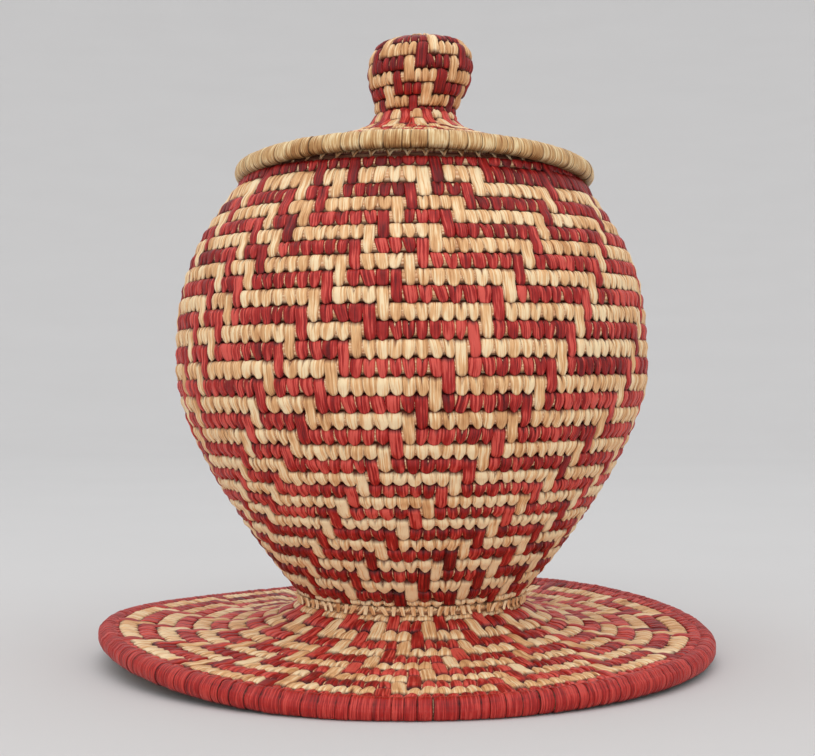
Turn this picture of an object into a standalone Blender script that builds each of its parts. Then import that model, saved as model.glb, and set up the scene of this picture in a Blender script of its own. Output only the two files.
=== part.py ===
"""A lidded basket of coiled grass: a vase-shaped vessel on a wide flared foot, with a lifting lid and a round knob.

Every wall is one long grass coil, laid round and round and bound to the turn before it, so each surface is
ribbed by a true spiral. Sizes are in metres, Z is up, and the origin is the centre of the foot on the table.
"""

import math

import bmesh
import bpy
from mathutils import Vector

GAP = 0.0003  # left between two pieces that are bound together

# Foot: a wide brim that stands on a thick wrapped rim
FOOT_DIAMETER = 0.2374
FOOT_HEIGHT = 0.0219  # top of the brim at the waist
FOOT_EDGE_HEIGHT = 0.0078  # top of the brim where it meets the rim
FOOT_SLOPE_WAIST = math.radians(-35)
FOOT_SLOPE_EDGE = math.radians(-2)
FOOT_WAIST_HANDLE = 0.018
FOOT_EDGE_HANDLE = 0.034
FOOT_THICKNESS = 0.0056
FOOT_TUCK = 0.0023  # how far inside the waist the brim starts
FOOT_PITCH_WAIST = 0.0058
FOOT_PITCH_EDGE = 0.0070
FOOT_RIM_THICKNESS = 0.0084

# Lashing that binds the vessel to the foot
LASHING_WIDTH = 0.0050
LASHING_THICKNESS = 0.0032

# Vessel, measured over the crests of its coil
WAIST_DIAMETER = 0.0876
BELLY_DIAMETER = 0.1832
MOUTH_DIAMETER = 0.1296
BELLY_HEIGHT = 0.0880  # above the waist
WALL_HEIGHT = 0.1630  # waist to mouth
WAIST_SLOPE = math.radians(50)
MOUTH_SLOPE = math.radians(123)
WAIST_HANDLE = 0.012
BELLY_LOWER_HANDLE = 0.031
BELLY_UPPER_HANDLE = 0.043
MOUTH_HANDLE = 0.030
WALL_THICKNESS = 0.0050
WALL_PITCH_WAIST = 0.0047
WALL_PITCH_MOUTH = 0.0066
FLOOR_THICKNESS = 0.0048
FLOOR_PITCH = 0.0053
MOUTH_RIM_THICKNESS = 0.0030

# Lid: a shallow cone with a thick wrapped rim, a collar that drops into the mouth, and a hollow knob
LID_OVERHANG = 0.0050  # how far the lid reaches past the mouth
LID_DIAMETER = MOUTH_DIAMETER + 2 * LID_OVERHANG
LID_RIM_THICKNESS = 0.0070
LID_RISE = 0.0150  # edge of the cone to the seat of the knob
LID_SLOPE_SEAT = math.radians(-6)
LID_SLOPE_EDGE = math.radians(-17)
LID_HANDLE = 0.014
LID_THICKNESS = 0.0052
LID_PITCH = 0.0063
COLLAR_CLEARANCE = 0.0016  # play between the collar and the mouth
COLLAR_THICKNESS = 0.0046
COLLAR_PITCH = 0.0048
COLLAR_TURNS = 3
KNOB_DIAMETER = 0.0414
KNOB_HEIGHT = 0.0326
KNOB_BELLY_HEIGHT = 0.0194  # above the seat
NECK_DIAMETER = 0.0330
KNOB_TOP_HANDLE = 0.0162
KNOB_SIDE_HANDLE = 0.0085
NECK_HANDLE = 0.0080
KNOB_THICKNESS = 0.0046
KNOB_PITCH = 0.0055

# The coil itself
GROOVE_DEPTH = 0.0012  # how far the seam between two turns lies below their crests
TAPERED_END = 0.15  # thickness of a cut coil end, as a share of a full turn
COIL_START_ANGLE = math.radians(90)
RISING = 1  # the vessel's coil climbs anticlockwise, seen from above
SPREADING = -1  # the foot, the lid and the knob are laid outwards clockwise
CENTRE_RADIUS = 0.0014  # the knot that a flat coil starts from
PATH_STEPS = 48

WALL_COLUMNS = 26
FOOT_COLUMNS = 26
LID_COLUMNS = 20
COLLAR_COLUMNS = 18
FLOOR_COLUMNS = 14
KNOB_COLUMNS = 16
RIM_SIDES = 8
THIN_SIDES = 6
FOOT_RIM_SEGMENTS = 40
LID_RIM_SEGMENTS = 32
THIN_SEGMENTS = 28


def clear_scene():
    for old in list(bpy.data.objects):
        bpy.data.objects.remove(old, do_unlink=True)


def material(name, colour, roughness):
    made = bpy.data.materials.new(name)
    made.use_nodes = True
    shader = made.node_tree.nodes["Principled BSDF"]
    shader.inputs["Base Color"].default_value = (*colour, 1.0)
    shader.inputs["Roughness"].default_value = roughness
    shader.inputs["Metallic"].default_value = 0.0
    made.diffuse_color = (*colour, 1.0)
    return made


def straw(name):
    return material(name, (0.62, 0.47, 0.24), 0.72)


def red_grass(name):
    return material(name, (0.40, 0.025, 0.045), 0.66)


def heading(angle):
    return Vector((math.cos(angle), math.sin(angle)))


def bezier(start, start_handle, end_handle, end):
    """Points of one cubic curve in the (radius, height) plane."""
    points = []
    for step in range(PATH_STEPS + 1):
        t = step / PATH_STEPS
        u = 1 - t
        points.append(u**3 * start + 3 * u * u * t * start_handle + 3 * u * t * t * end_handle + t**3 * end)
    return points


class Profile:
    """A smooth line in the (radius, height) plane, read by the distance along it."""

    def __init__(self, points):
        self.points = [points[0]]
        self.marks = [0.0]
        for point in points[1:]:
            step = (point - self.points[-1]).length
            if step > 1e-7:
                self.points.append(point)
                self.marks.append(self.marks[-1] + step)
        self.length = self.marks[-1]

    def at(self, distance):
        """The point at a distance along the line, and the unit normal on the left of the line there."""
        distance = min(max(distance, 0.0), self.length)
        last = len(self.marks) - 2
        index = min(max(sum(mark <= distance for mark in self.marks) - 1, 0), last)
        first, second = self.points[index], self.points[index + 1]
        share = (distance - self.marks[index]) / (self.marks[index + 1] - self.marks[index])
        along = self.tangent(index).lerp(self.tangent(index + 1), share).normalized()
        return first.lerp(second, share), Vector((-along.y, along.x))

    def tangent(self, index):
        before = self.points[max(index - 1, 0)]
        after = self.points[min(index + 1, len(self.points) - 1)]
        return (after - before).normalized()


class Coil:
    """Where the turns of one coil lie along a profile, from its tapered start to its tapered end."""

    def __init__(self, profile, first_pitch, last_pitch):
        self.profile = profile
        mean_pitch = (first_pitch + last_pitch) / 2
        self.turns = max(2, round(profile.length / mean_pitch + 1 - 2 * TAPERED_END))
        self.growth = (last_pitch - first_pitch) / (last_pitch + first_pitch)
        self.span = self.turns - 1 + 2 * TAPERED_END

    def seam(self, turn):
        """Distance along the profile to the lower seam of the coil, after that many turns."""
        levelled = TAPERED_END * turn + (1 - TAPERED_END) * (min(max(turn, 1), self.turns) - 1)
        share = levelled / self.span
        return self.profile.length * share * (1 + self.growth * (share - 1))

    def rib(self, turn):
        """Distance to the crest between two seams, and how full the coil is there, from 0 to 1."""
        low, high = self.seam(turn), self.seam(turn + 1)
        pitch = self.profile.length / self.span
        return (low + high) / 2, min(1.0, (high - low) / pitch)


def new_object(name, bm, materials):
    bmesh.ops.recalc_face_normals(bm, faces=bm.faces)
    mesh = bpy.data.meshes.new(name)
    bm.to_mesh(mesh)
    bm.free()
    for item in materials:
        mesh.materials.append(item)
    mesh.shade_smooth()
    made = bpy.data.objects.new(name, mesh)
    bpy.context.scene.collection.objects.link(made)
    return made


def coil_shell(name, coil, thickness, columns, materials, direction, left_side=True, closed_centre=False):
    """One coil as a ribbed shell. Its turns share their seams, and every other turn takes the second material."""
    bm = bmesh.new()
    side = 1 if left_side else -1
    rows = 2 * coil.turns
    skins = ({}, {})

    def add_vertices(row, column):
        turn = row // 2 + column / columns
        if row % 2:
            distance, fullness = coil.rib(turn)
            inset = GROOVE_DEPTH * (1 - fullness)
        else:
            distance = coil.seam(turn)
            inset = GROOVE_DEPTH
        point, normal = coil.profile.at(distance)
        angle = COIL_START_ANGLE + direction * 2 * math.pi * column / columns
        for skin, depth in zip(skins, (inset, thickness - inset)):
            spot = point - side * normal * depth
            skin[row, column] = bm.verts.new((spot.x * math.cos(angle), spot.x * math.sin(angle), spot.y))

    def place(row, column):
        return (row + 2, 0) if column == columns else (row, column)

    for column in range(columns):
        for row in range(rows + (3 if column == 0 else 1)):
            add_vertices(row, column)
    for column in range(columns):
        for row in range(rows):
            corners = (place(row, column), place(row, column + 1), place(row + 1, column + 1), place(row + 1, column))
            for skin in skins:
                face = bm.faces.new([skin[corner] for corner in corners])
                face.material_index = row // 2 % len(materials)
    for column in range(columns):
        for row in range(0, rows + 1, 2):
            for skin in skins:
                seam = bm.edges.get((skin[place(row, column)], skin[place(row, column + 1)]))
                seam.smooth = False
    for row, closed in ((0, closed_centre), (rows, False)):
        edge = [place(row, column) for column in range(columns + 1)]
        end = [(row, 0), (row + 1, 0), (row + 2, 0)]
        if closed:
            close_centre(bm, skins, edge + [end[1]])
        else:
            close_edge(bm, skins, edge, end)
    return new_object(name, bm, materials)


def close_edge(bm, skins, edge, end):
    """Join the two skins along a level edge and across the cut end of the coil."""
    outer, inner = skins
    for here, there in zip(edge, edge[1:]):
        bm.faces.new((outer[here], outer[there], inner[there], inner[here]))
    bm.faces.new([outer[spot] for spot in end] + [inner[spot] for spot in reversed(end)])


def close_centre(bm, skins, loop):
    """Fill the knot in the middle of a coil, on both of its skins."""
    for skin in skins:
        middle = bm.verts.new(sum((skin[spot].co for spot in loop), Vector()) / len(loop))
        for here, there in zip(loop, loop[1:] + loop[:1]):
            bm.faces.new((skin[here], skin[there], middle))


def corner_radius(thickness, sides):
    """How far the corners of a bundle's section reach from its middle."""
    return thickness / 2 / math.cos(math.pi / sides)


def ring(name, radius, height, width, thickness, sides, segments, materials):
    """A round bundle bent into a ring: a polygon with a flat top and bottom, spun about the Z axis."""
    bm = bmesh.new()
    corners = []
    for corner in range(sides):
        turn = 2 * math.pi * (corner + 0.5) / sides - math.pi / 2
        across = radius + corner_radius(width, sides) * math.cos(turn)
        corners.append(bm.verts.new((across, 0.0, height + corner_radius(thickness, sides) * math.sin(turn))))
    section = [bm.edges.new((corners[index - 1], corners[index])) for index in range(sides)]
    bmesh.ops.spin(
        bm,
        geom=corners + section,
        cent=(0, 0, 0),
        axis=(0, 0, 1),
        angle=2 * math.pi,
        steps=segments,
        use_merge=True,
    )
    return new_object(name, bm, materials)


def wall_profile(lift):
    """The vessel's outline, up from the waist: out to the belly and in again to the mouth."""
    waist = Vector((WAIST_DIAMETER / 2, lift))
    belly = Vector((BELLY_DIAMETER / 2, lift + BELLY_HEIGHT))
    mouth = Vector((MOUTH_DIAMETER / 2, lift + WALL_HEIGHT))
    up = Vector((0, 1))
    lower = bezier(waist, waist + WAIST_HANDLE * heading(WAIST_SLOPE), belly - BELLY_LOWER_HANDLE * up, belly)
    upper = bezier(belly, belly + BELLY_UPPER_HANDLE * up, mouth - MOUTH_HANDLE * heading(MOUTH_SLOPE), mouth)
    return Profile(lower + upper)


def foot_profile(inner_radius):
    """The top of the brim, out from the waist to the rim."""
    start = Vector((inner_radius, FOOT_HEIGHT))
    end = Vector((FOOT_DIAMETER / 2 - FOOT_RIM_THICKNESS - GAP, FOOT_EDGE_HEIGHT))
    start_handle = start + FOOT_WAIST_HANDLE * heading(FOOT_SLOPE_WAIST)
    return Profile(bezier(start, start_handle, end - FOOT_EDGE_HANDLE * heading(FOOT_SLOPE_EDGE), end))


def lid_profile(seat_height, edge_radius):
    """The top of the lid, out from under the knob to its rim."""
    start = Vector(((NECK_DIAMETER - KNOB_THICKNESS - LID_PITCH) / 2, seat_height))
    end = Vector((edge_radius, seat_height - LID_RISE))
    start_handle = start + LID_HANDLE * heading(LID_SLOPE_SEAT)
    return Profile(bezier(start, start_handle, end - LID_HANDLE * heading(LID_SLOPE_EDGE), end))


def knob_profile(seat_height):
    """The knob's outline, from the middle of its top, over its round side and in to the neck."""
    top = Vector((CENTRE_RADIUS, seat_height + KNOB_HEIGHT))
    side = Vector((KNOB_DIAMETER / 2, seat_height + KNOB_BELLY_HEIGHT))
    neck = Vector((NECK_DIAMETER / 2, seat_height))
    out, down = Vector((1, 0)), Vector((0, -1))
    crown = bezier(top, top + KNOB_TOP_HANDLE * out, side - KNOB_SIDE_HANDLE * down, side)
    flank = bezier(side, side + KNOB_SIDE_HANDLE * down, neck - NECK_HANDLE * down, neck)
    return Profile(crown + flank)


def line_profile(start, end):
    return Profile([Vector(start), (Vector(start) + Vector(end)) / 2, Vector(end)])


def build_foot():
    """The brim, its rim and the lashing on top of it. Returns the height of the lashing's top."""
    foot = bpy.data.objects.new("foot", None)
    bpy.context.scene.collection.objects.link(foot)
    inner_radius = WAIST_DIAMETER / 2 - FOOT_TUCK
    coil = Coil(foot_profile(inner_radius), FOOT_PITCH_WAIST, FOOT_PITCH_EDGE)
    brim_colours = (straw("brim_straw"), red_grass("brim_red"))
    brim = coil_shell("foot_brim", coil, FOOT_THICKNESS, FOOT_COLUMNS, brim_colours, SPREADING)
    rim_radius = (FOOT_DIAMETER - FOOT_RIM_THICKNESS) / 2
    rim = ring(
        "foot_rim", rim_radius, FOOT_RIM_THICKNESS / 2, FOOT_RIM_THICKNESS, FOOT_RIM_THICKNESS,
        RIM_SIDES, FOOT_RIM_SEGMENTS,
        [red_grass("foot_rim_red")],
    )
    seat_height = FOOT_HEIGHT - GROOVE_DEPTH * math.cos(FOOT_SLOPE_WAIST)
    lashing_height = seat_height + GAP + LASHING_THICKNESS / 2
    lashing_radius = (WAIST_DIAMETER - LASHING_WIDTH) / 2
    lashing = ring(
        "waist_lashing", lashing_radius, lashing_height, LASHING_WIDTH, LASHING_THICKNESS,
        RIM_SIDES, THIN_SEGMENTS, [straw("lashing_straw")],
    )
    for piece in (brim, rim, lashing):
        piece.parent = foot
    return lashing_height + LASHING_THICKNESS / 2


def build_vessel(lift):
    """The floor, the wall and the bundle that finishes the mouth. Returns the mouth bundle's radius and height."""
    vessel = bpy.data.objects.new("vessel", None)
    bpy.context.scene.collection.objects.link(vessel)
    floor_top = lift + FLOOR_THICKNESS
    floor_radius = WAIST_DIAMETER / 2 - (WALL_THICKNESS - GROOVE_DEPTH) * math.sin(WAIST_SLOPE) - GAP
    floor_line = line_profile((CENTRE_RADIUS, floor_top), (floor_radius, floor_top))
    floor = coil_shell(
        "vessel_floor", Coil(floor_line, FLOOR_PITCH, FLOOR_PITCH), FLOOR_THICKNESS, FLOOR_COLUMNS,
        (straw("floor_straw"),), RISING, closed_centre=True,
    )
    outline = wall_profile(lift - GROOVE_DEPTH * math.cos(WAIST_SLOPE))
    wall_coil = Coil(outline, WALL_PITCH_WAIST, WALL_PITCH_MOUTH)
    wall_colours = (straw("wall_straw"), red_grass("wall_red"))
    wall = coil_shell(
        "vessel_wall", wall_coil, WALL_THICKNESS, WALL_COLUMNS, wall_colours, RISING, left_side=False
    )
    mouth, inward = outline.at(outline.length)
    lift_off = corner_radius(MOUTH_RIM_THICKNESS, THIN_SIDES) + GAP
    centre = mouth + inward * WALL_THICKNESS / 2 + lift_off * heading(MOUTH_SLOPE)
    rim = ring(
        "mouth_rim", centre.x, centre.y, MOUTH_RIM_THICKNESS, MOUTH_RIM_THICKNESS,
        THIN_SIDES, THIN_SEGMENTS, [straw("mouth_straw")],
    )
    for piece in (floor, wall, rim):
        piece.parent = vessel
    return centre


def build_lid(mouth):
    """The lid, whose rim nests on the outside of the mouth bundle, with its collar inside."""
    lid = bpy.data.objects.new("lid", None)
    bpy.context.scene.collection.objects.link(lid)
    rim_radius = (LID_DIAMETER - LID_RIM_THICKNESS) / 2
    reach = corner_radius(LID_RIM_THICKNESS, RIM_SIDES) + corner_radius(MOUTH_RIM_THICKNESS, THIN_SIDES)
    overhang = rim_radius - mouth.x
    rim_height = mouth.y + math.sqrt(max((reach + GAP) ** 2 - overhang**2, 0.0))
    rim = ring(
        "lid_rim", rim_radius, rim_height, LID_RIM_THICKNESS, LID_RIM_THICKNESS,
        RIM_SIDES, LID_RIM_SEGMENTS, [straw("lid_rim_straw")],
    )
    edge_radius = rim_radius - LID_RIM_THICKNESS / 2 - GAP
    seat_height = rim_height + LID_THICKNESS / 2 + LID_RISE
    outline = lid_profile(seat_height, edge_radius)
    dome_colours = (red_grass("lid_red"), straw("lid_straw"))
    dome_coil = Coil(outline, LID_PITCH, LID_PITCH)
    dome = coil_shell("lid_dome", dome_coil, LID_THICKNESS, LID_COLUMNS, dome_colours, SPREADING)
    collar_radius = mouth.x - MOUTH_RIM_THICKNESS / 2 - COLLAR_CLEARANCE
    collar_top = height_at(outline, collar_radius - GROOVE_DEPTH, LID_THICKNESS) - GAP
    collar_height = COLLAR_PITCH * (COLLAR_TURNS - 1 + 2 * TAPERED_END)
    collar_line = line_profile((collar_radius, collar_top - collar_height), (collar_radius, collar_top))
    collar = coil_shell(
        "lid_collar", Coil(collar_line, COLLAR_PITCH, COLLAR_PITCH), COLLAR_THICKNESS, COLLAR_COLUMNS,
        (straw("collar_straw"),), RISING, left_side=False,
    )
    knob_base = height_at(outline, NECK_DIAMETER / 2 - KNOB_THICKNESS, 0.0) + GAP
    knob_coil = Coil(knob_profile(knob_base), KNOB_PITCH, KNOB_PITCH)
    knob_colours = (straw("knob_straw"), red_grass("knob_red"))
    knob = coil_shell(
        "knob", knob_coil, KNOB_THICKNESS, KNOB_COLUMNS, knob_colours, SPREADING, closed_centre=True
    )
    for piece in (rim, dome, collar, knob):
        piece.parent = lid


def height_at(outline, radius, depth):
    """Height of the lid's crests at a radius: of its top at no depth, and of its underside at its thickness."""
    spots = [outline.at(outline.length * step / PATH_STEPS) for step in range(PATH_STEPS + 1)]
    crests = [point - normal * depth for point, normal in spots]
    return min(crests, key=lambda spot: abs(spot.x - radius)).y


def build():
    clear_scene()
    lashing_top = build_foot()
    mouth = build_vessel(lashing_top + GAP)
    build_lid(mouth)


build()
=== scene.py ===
import math

import bpy
import numpy as np
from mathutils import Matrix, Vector


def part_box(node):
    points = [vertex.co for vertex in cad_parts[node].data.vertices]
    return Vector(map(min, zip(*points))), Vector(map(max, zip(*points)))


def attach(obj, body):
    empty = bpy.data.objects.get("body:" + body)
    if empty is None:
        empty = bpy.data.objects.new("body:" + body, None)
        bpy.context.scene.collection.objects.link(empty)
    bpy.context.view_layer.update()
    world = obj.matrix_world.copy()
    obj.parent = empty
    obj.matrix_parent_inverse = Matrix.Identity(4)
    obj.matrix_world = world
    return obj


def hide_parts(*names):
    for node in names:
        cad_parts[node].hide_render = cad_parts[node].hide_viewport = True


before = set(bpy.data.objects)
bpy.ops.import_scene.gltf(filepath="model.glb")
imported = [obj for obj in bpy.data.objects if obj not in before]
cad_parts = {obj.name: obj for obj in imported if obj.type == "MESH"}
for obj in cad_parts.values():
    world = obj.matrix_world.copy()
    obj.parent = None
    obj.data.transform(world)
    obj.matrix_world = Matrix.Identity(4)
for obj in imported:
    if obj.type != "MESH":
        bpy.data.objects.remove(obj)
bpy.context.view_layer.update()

MM = 0.001

# The studio. The basket stands on pale seamless paper that curves up all round it. One wide soft light hangs
# above and in front, and three stand low at the left, the front and the right, so that the underside of the
# belly stays light and the shadow is only a soft darkening under the foot.
CAMERA_DISTANCE = 603 * MM
CAMERA_HEIGHT = 108.9 * MM
CAMERA_OFFSET = -1.6 * MM
CAMERA_TILT = math.radians(-0.11)
CAMERA_LENS = 68.0
PAPER_FLAT = 1.5
PAPER_RISE = 1.6
PAPER_SIDES = 96
PAPER_RINGS = (0.001, 0.3, 0.9)  # radii of the rings of corners in the flat part, in metres
PAPER_MOTTLE = 25 * MM
ROOM_LIGHT = 1.12
SOFT_LIGHTS = (  # name, place, what it points at, width in metres, watts
    ("soft_top", (-0.2, -0.75, 1.45), (0, 0, 0.08), 1.2, 3.6),
    ("soft_left", (-1.0, -1.5, 0.2), (0, 0, 0.07), 0.8, 3.2),
    ("soft_front", (-0.1, -1.4, 0.03), (0, 0, 0.05), 0.7, 2.6),
    ("soft_right", (1.0, -1.5, 0.2), (0, 0, 0.07), 0.8, 3.8),
)


def linear(hex_colour):
    """The linear red, green, blue and alpha of an sRGB hex colour."""
    channels = [int(hex_colour[i : i + 2], 16) / 255 for i in (1, 3, 5)]
    return [c / 12.92 if c <= 0.04045 else ((c + 0.055) / 1.055) ** 2.4 for c in channels] + [1.0]


def add(made, kind, inputs=None, **settings):
    """Adds a node to a material: its own settings, and for each input a value or the socket that feeds it."""
    node = made.node_tree.nodes.new(kind)
    for name, value in settings.items():
        setattr(node, name, value)
    for name, value in (inputs or {}).items():
        if isinstance(value, bpy.types.NodeSocket):
            made.node_tree.links.new(value, node.inputs[name])
        else:
            node.inputs[name].default_value = value
    return node


def new_material(name):
    made = bpy.data.materials.new(name)
    made.use_nodes = True
    made.node_tree.nodes.clear()
    return made


def finish_material(made, shader):
    output = add(made, "ShaderNodeOutputMaterial")
    made.node_tree.links.new(shader.outputs[0], output.inputs["Surface"])
    return made


def new_piece(name, vertices, faces, material):
    """A smooth-shaded mesh object from arrays of corners and faces."""
    mesh = bpy.data.meshes.new(name)
    mesh.from_pydata(vertices.reshape(-1, 3).tolist(), [], faces.reshape(-1, faces.shape[-1]).tolist())
    mesh.materials.append(material)
    mesh.shade_smooth()
    piece = bpy.data.objects.new(name, mesh)
    bpy.context.scene.collection.objects.link(piece)
    return piece


def grid_faces(rows, columns, closed=False):
    """The faces of a grid of corners, wound round on itself along its columns if it is closed."""
    steps = np.arange(columns if closed else columns - 1)
    row, column = np.meshgrid(np.arange(rows - 1), steps, indexing="ij")
    here, above = row * columns, (row + 1) * columns
    after = (column + 1) % columns
    return np.stack((here + column, here + after, above + after, above + column), -1).reshape(-1, 4)


camera = bpy.data.objects.new("camera", bpy.data.cameras.new("camera"))
camera.data.lens = CAMERA_LENS
camera.location = (CAMERA_OFFSET, -CAMERA_DISTANCE, CAMERA_HEIGHT)
camera.rotation_euler = (math.radians(90) + CAMERA_TILT, 0, 0)
bpy.context.scene.collection.objects.link(camera)
bpy.context.scene.camera = camera
bpy.context.scene.view_settings.view_transform = "Standard"

# Uncoated studio paper. To the eye it is a flat, pale, barely warm grey without any shine, with a faint
# mottle about as wide as a thumb.
paper = new_material("matte_studio_paper")
mottle = add(paper, "ShaderNodeTexNoise", {"Scale": 1 / PAPER_MOTTLE, "Detail": 3.0})
grey, light_grey = linear("#D0CECD"), linear("#D4D2D1")
mixed = {"Fac": mottle.outputs["Fac"], "Color1": grey, "Color2": light_grey}
tint = add(paper, "ShaderNodeMixRGB", mixed)
finish_material(paper, add(paper, "ShaderNodeBsdfDiffuse", {"Color": tint.outputs[0]}))

paper_angle = np.linspace(0, 2 * np.pi, PAPER_SIDES, endpoint=False)
lift_angle = np.linspace(0, np.pi / 2, 17)
paper_radius = np.r_[PAPER_RINGS, PAPER_FLAT + PAPER_RISE * np.sin(lift_angle)][:, None]
paper_height = np.r_[[0] * len(PAPER_RINGS), PAPER_RISE * (1 - np.cos(lift_angle))][:, None]
paper_x, paper_y = paper_radius * np.cos(paper_angle), paper_radius * np.sin(paper_angle)
paper_points = np.stack([paper_x, paper_y, paper_height + 0 * paper_angle], -1)
paper_faces = grid_faces(len(paper_radius), PAPER_SIDES, closed=True)
sweep = new_piece("paper_sweep", paper_points, paper_faces, paper)

for name, place, target, size, power in SOFT_LIGHTS:
    lamp = bpy.data.lights.new(name, "AREA")
    lamp.size, lamp.energy = size, power
    light = bpy.data.objects.new(name, lamp)
    light.location = place
    light.rotation_euler = (light.location - Vector(target)).to_track_quat("Z", "Y").to_euler()
    bpy.context.scene.collection.objects.link(light)

world = bpy.data.worlds.new("room")
bpy.context.scene.world = world
world.use_nodes = True
world.node_tree.nodes["Background"].inputs["Color"].default_value = linear("#F4F6F8")
world.node_tree.nodes["Background"].inputs["Strength"].default_value = ROOM_LIGHT


# The vessel wall. One long grass bundle climbs round and round, and leaf strips wrapped over it bind each
# turn to the one below. Undyed and red turns alternate, and every so often a long stitch reaches down over
# two turns.
WAIST_RADIUS = 43.8 * MM
BELLY_RADIUS = 91.6 * MM
MOUTH_RADIUS = 64.8 * MM
WAIST_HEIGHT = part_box("vessel_wall")[0].z - 0.77 * MM
BELLY_ABOVE_WAIST = 88.0 * MM
MOUTH_ABOVE_WAIST = 163.0 * MM
WAIST_SLOPE, MOUTH_SLOPE = math.radians(50), math.radians(123)
WAIST_HANDLE, LOWER_BELLY_HANDLE = 12 * MM, 31 * MM
UPPER_BELLY_HANDLE, MOUTH_HANDLE = 43 * MM, 30 * MM
WALL_TURNS = 33
WALL_PITCHES = (4.7 * MM, 6.6 * MM)  # heights of the first and of the last turn
WALL_THICKNESS = 5.0 * MM
WALL_UNEVENNESS = 1.5 * MM
WALL_SEAM, WALL_STRIP = 2.35 * MM, 0.66 * MM  # depth of the seams, and how thick a strip stands on a turn
CUT_END = 0.15  # thickness of a bundle's cut end, as a share of a full turn
UNEVEN_TURNS, UNEVEN_START = 17.5, 1.6  # length and start of the wave in the turns' heights, in turns
CENTRE_HOLE = 1.5 * MM


def heading(slope):
    return np.array([math.cos(slope), math.sin(slope)])


def curve(start, start_handle, end_handle, end, steps=48):
    """Points of one Bezier curve in the (radius, height) plane."""
    t = np.linspace(0, 1, steps + 1)[:, None]
    a, b, c, d = (np.array(point) for point in (start, start_handle, end_handle, end))
    return (1 - t) ** 3 * a + 3 * (1 - t) ** 2 * t * b + 3 * (1 - t) * t**2 * c + t**3 * d


class Outline:
    """A smooth line in the (radius, height) plane. Its outside is on its right if out is 1, left if -1."""

    def __init__(self, points, out):
        step = np.hypot(*np.diff(points, axis=0).T)
        points = points[np.r_[True, step > 1e-7]]
        self.mark = np.r_[0, np.cumsum(np.hypot(*np.diff(points, axis=0).T))]
        self.radius, self.height = points.T
        self.slope = np.unwrap(np.arctan2(np.gradient(self.height), np.gradient(self.radius)))
        self.out = out
        self.length = self.mark[-1]

    def place(self, distance, depth):
        """Radius and height of the point at a distance along the line and a depth below it."""
        slope = np.interp(distance, self.mark, self.slope)
        radius = np.interp(distance, self.mark, self.radius) - depth * self.out * np.sin(slope)
        height = np.interp(distance, self.mark, self.height) + depth * self.out * np.cos(slope)
        return radius, height


class Coil:
    """The turns of one grass bundle along an outline. Places along it are counted in turns from its start,
    which is at the back. Its turns grow from 1 - growth to 1 + growth times their mean height. Turning is
    1 where it passes the front from left to right, and -1 where it passes from right to left."""

    def __init__(self, outline, turns, growth, turning, unevenness=0.0, bend=None):
        self.outline, self.turns, self.growth, self.turning = outline, turns, growth, turning
        self.unevenness, self.bend = unevenness, bend

    def seam(self, turn):
        """Distance along the outline to the bundle's lower seam."""
        span = self.turns - 1 + 2 * CUT_END
        share = (CUT_END * turn + (1 - CUT_END) * (np.clip(turn, 1, self.turns) - 1)) / span
        even = self.outline.length * share * (1 + self.growth * (share - 1))
        ease = np.clip(np.minimum(turn - 1, self.turns - 0.4 - turn), 0, 1)
        uneven = self.unevenness * ease * np.sin(2 * np.pi * (turn - UNEVEN_START) / UNEVEN_TURNS)
        return np.clip(even + uneven, 0, self.outline.length)

    def distance(self, turn, rise):
        """Distance along the outline. Rise is 0 at the lower seam, 1 at the upper, and -1 one turn down."""
        whole = np.floor(rise)
        low = self.seam(turn + whole)
        return low + (rise - whole) * (self.seam(turn + whole + 1) - low)

    def radius(self, turn, rise=0.5):
        mark = self.distance(turn, rise)
        return np.maximum(np.interp(mark, self.outline.mark, self.outline.radius), CENTRE_HOLE)

    def spot(self, turn, rise, depth):
        """Points on the basket, a depth below the crests of the coil."""
        radius, height = self.outline.place(self.distance(turn, rise), depth)
        angle = np.pi / 2 + self.turning * 2 * np.pi * turn
        points = np.stack([radius * np.cos(angle), radius * np.sin(angle), height], -1)
        return self.bend(points) if self.bend else points


ROWS_BEYOND = 4  # turns past both ends for which a staircase is worked out
COIL_BEGINS, COIL_STOPS = 0.02, 0.01  # how far from the coil's ends the strips begin and stop, in turns
LONGS_BEGIN, LONGS_STOP = 1.1, 0.02  # the same for the long stitches
SMALLEST_STAIR_RADIUS = 9 * MM  # nearer to the centre there is no room for a long stitch
STEADY_RADIUS = 7 * MM  # nearer to the centre a staircase moves along no faster
PARTS_OF_TURN = 4  # short strips are shared out evenly over each quarter of a turn
ONE_MORE = 0.05  # tips the rounding of their number towards one strip more
STRIPS_PER_LEAF = 6  # short strips in a row that come from one leaf and share its shade
BROWN_LEAVES, BROWN = 0.02, -0.4  # share of the leaves that have gone brown, and their shade
SPLIT_STRIPS = 0.45  # share of the strips that split along a fibre


def stair_crossings(coil, stairs, stair_turn, step):
    """Where staircases of long stitches cross the coil, in turns, one row for each staircase. They cross the
    given turn at the given degrees to the right of the front, and move along by one step a turn."""
    rows = np.arange(-ROWS_BEYOND, coil.turns + ROWS_BEYOND)
    radius = np.maximum(coil.radius(np.clip(rows, 0.5, coil.turns - 0.5)), STEADY_RADIUS)
    shift = np.cumsum(step / (2 * np.pi * radius))
    shift -= shift[stair_turn + ROWS_BEYOND]
    shares = (0.5 + coil.turning * np.array(stairs) / 360) % 1
    return rows + shift + shares[:, None]


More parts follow.
